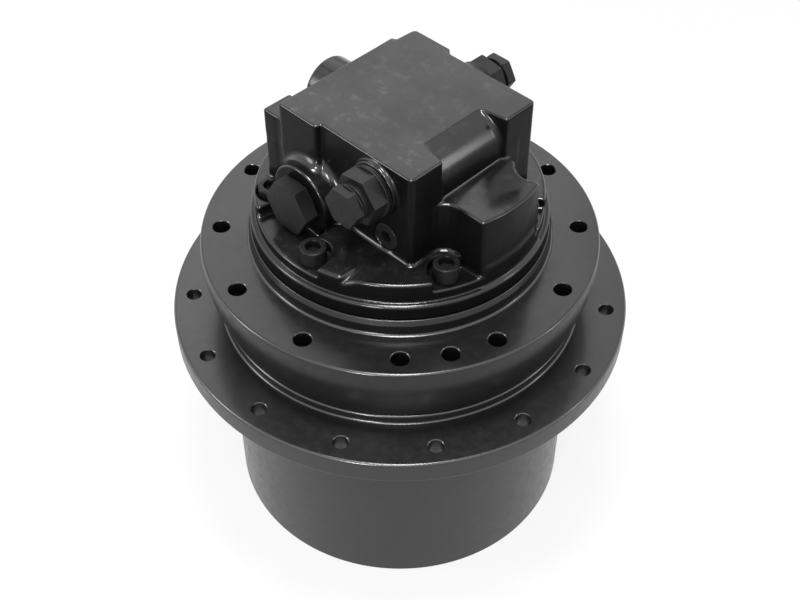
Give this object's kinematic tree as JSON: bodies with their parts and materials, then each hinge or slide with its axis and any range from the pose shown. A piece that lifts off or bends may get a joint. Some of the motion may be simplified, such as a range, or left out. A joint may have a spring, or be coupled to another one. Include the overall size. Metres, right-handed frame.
{
  "type": "excavator final drive",
  "caption": "Track drive: fixed spindle with hydraulic motor and valve cover, two planet stages inside, turning hub with sprocket flange.",
  "frame": {"origin": "on the main axis, at the lower rim of the hub drum, where the drive stands on its gearbox end", "axes": "+Z along the main axis towards the valve cover; +X and -Y are the two sides that the picture shows; the hose ports face -X"},
  "size_m": [0.329, 0.329, 0.3435],
  "materials": {
    "black_paint": "satin black paint on cast iron",
    "machined_steel": "turned steel",
    "ground_steel": "ground steel",
    "gear_steel": "case-hardened steel, oily",
    "black_oxide": "black oxide finish on steel",
    "bronze": "bronze",
    "nitrile_rubber": "moulded nitrile rubber",
    "friction_lining": "paper friction lining on steel",
    "spring_steel": "spring steel"
  },
  "bodies": {
    "spindle_side": {"spindle": "black_paint", "rear_cover": "black_paint", "cover_screw_1": "black_oxide", "cover_screw_2": "black_oxide", "cover_screw_3": "black_oxide", "cover_screw_4": "black_oxide", "cover_screw_5": "black_oxide", "cover_screw_6": "black_oxide", "cover_screw_7": "black_oxide", "spool_cap_front": "black_oxide", "spool_cap_rear": "black_oxide", "relief_valve_front": "black_oxide", "relief_valve_rear": "black_oxide", "gallery_plug": "black_oxide", "pin_plate": "gear_steel", "planet_2_pin_a": "ground_steel", "planet_2_pin_b": "ground_steel", "planet_2_pin_c": "ground_steel", "bearing_cone_lower": "ground_steel", "bearing_cone_upper": "ground_steel", "seal_ring_upper": "ground_steel", "toric_upper": "nitrile_rubber", "swash_plate": "ground_steel", "brake_plate_1": "machined_steel", "brake_plate_2": "machined_steel", "valve_plate": "bronze", "shaft_bearing_front": "ground_steel", "shaft_bearing_rear": "ground_steel", "shaft_seal": "nitrile_rubber", "brake_spring": "spring_steel", "spool_spring_front": "spring_steel", "spool_spring_rear": "spring_steel"},
    "hub_side": {"hub_housing": "black_paint", "end_cover": "black_paint", "retaining_ring": "spring_steel", "fill_plug": "black_oxide", "level_plug": "black_oxide", "thrust_pad": "bronze", "bearing_cup_lower": "ground_steel", "bearing_cup_upper": "ground_steel", "seal_ring_lower": "ground_steel", "toric_lower": "nitrile_rubber"},
    "motor_group": {"motor_shaft": "ground_steel", "sun_1": "gear_steel", "cylinder_block": "gear_steel", "piston_set": "ground_steel", "friction_disc_1": "friction_lining", "friction_disc_2": "friction_lining"},
    "first_carrier": {"carrier_1": "gear_steel", "sun_2": "gear_steel"},
    "rollers_lower": {"rollers_lower": "ground_steel"},
    "rollers_upper": {"rollers_upper": "ground_steel"},
    "brake_piston": {"brake_piston": "machined_steel"},
    "counterbalance_spool": {"counterbalance_spool": "ground_steel"},
    "planet_1a": {"planet_1a": "gear_steel"},
    "planet_2a": {"planet_2a": "gear_steel"},
    "planet_1b": {"planet_1b": "gear_steel"},
    "planet_2b": {"planet_2b": "gear_steel"},
    "planet_1c": {"planet_1c": "gear_steel"},
    "planet_2c": {"planet_2c": "gear_steel"}
  },
  "joints": [
    {"name": "hub_spin", "type": "hinge", "parent": "spindle_side", "child": "hub_side", "pos_m": [0, 0, 0], "axis": [0, 0, 1], "continuous": true},
    {"name": "first_carrier_spin", "type": "hinge", "parent": "spindle_side", "child": "first_carrier", "pos_m": [0, 0, 0], "axis": [0, 0, 1], "continuous": true},
    {"name": "motor_spin", "type": "hinge", "parent": "spindle_side", "child": "motor_group", "pos_m": [0, 0, 0], "axis": [0, 0, 1], "continuous": true},
    {"name": "planet_2a_spin", "type": "hinge", "parent": "spindle_side", "child": "planet_2a", "pos_m": [0, 0.072, 0.06], "axis": [0, 0, 1], "continuous": true},
    {"name": "planet_2b_spin", "type": "hinge", "parent": "spindle_side", "child": "planet_2b", "pos_m": [-0.06235, -0.036, 0.06], "axis": [0, 0, 1], "continuous": true},
    {"name": "planet_2c_spin", "type": "hinge", "parent": "spindle_side", "child": "planet_2c", "pos_m": [0.06235, -0.036, 0.06], "axis": [0, 0, 1], "continuous": true},
    {"name": "planet_1a_spin", "type": "hinge", "parent": "first_carrier", "child": "planet_1a", "pos_m": [0.05612, 0.0324, 0.024], "axis": [0, 0, 1], "continuous": true},
    {"name": "planet_1b_spin", "type": "hinge", "parent": "first_carrier", "child": "planet_1b", "pos_m": [-0.05612, 0.0324, 0.024], "axis": [0, 0, 1], "continuous": true},
    {"name": "planet_1c_spin", "type": "hinge", "parent": "first_carrier", "child": "planet_1c", "pos_m": [0, -0.0648, 0.024], "axis": [0, 0, 1], "continuous": true},
    {"name": "rollers_lower_spin", "type": "hinge", "parent": "spindle_side", "child": "rollers_lower", "pos_m": [0, 0, 0], "axis": [0, 0, 1], "continuous": true},
    {"name": "rollers_upper_spin", "type": "hinge", "parent": "spindle_side", "child": "rollers_upper", "pos_m": [0, 0, 0], "axis": [0, 0, 1], "continuous": true},
    {"name": "brake_release", "type": "slide", "parent": "spindle_side", "child": "brake_piston", "axis": [0, 0, 1], "range_m": [0, 0.002], "stiffness_N_per_m": 200000, "springref_m": -0.001, "deforming": ["brake_spring"]},
    {"name": "spool_shift", "type": "slide", "parent": "spindle_side", "child": "counterbalance_spool", "axis": [0, 1, 0], "range_m": [-0.005, 0.005], "stiffness_N_per_m": 20000, "deforming": ["spool_spring_front", "spool_spring_rear"]}
  ],
  "couplings": [
    {"joint": "first_carrier_spin", "follows": "hub_spin", "ratio": -3},
    {"joint": "motor_spin", "follows": "hub_spin", "ratio": -23},
    {"joint": "planet_2a_spin", "follows": "hub_spin", "ratio": 3},
    {"joint": "planet_2b_spin", "follows": "hub_spin", "ratio": 3},
    {"joint": "planet_2c_spin", "follows": "hub_spin", "ratio": 3},
    {"joint": "planet_1a_spin", "follows": "hub_spin", "ratio": 10},
    {"joint": "planet_1b_spin", "follows": "hub_spin", "ratio": 10},
    {"joint": "planet_1c_spin", "follows": "hub_spin", "ratio": 10},
    {"joint": "rollers_lower_spin", "follows": "hub_spin", "ratio": 0.5156},
    {"joint": "rollers_upper_spin", "follows": "hub_spin", "ratio": 0.5156}
  ]
}
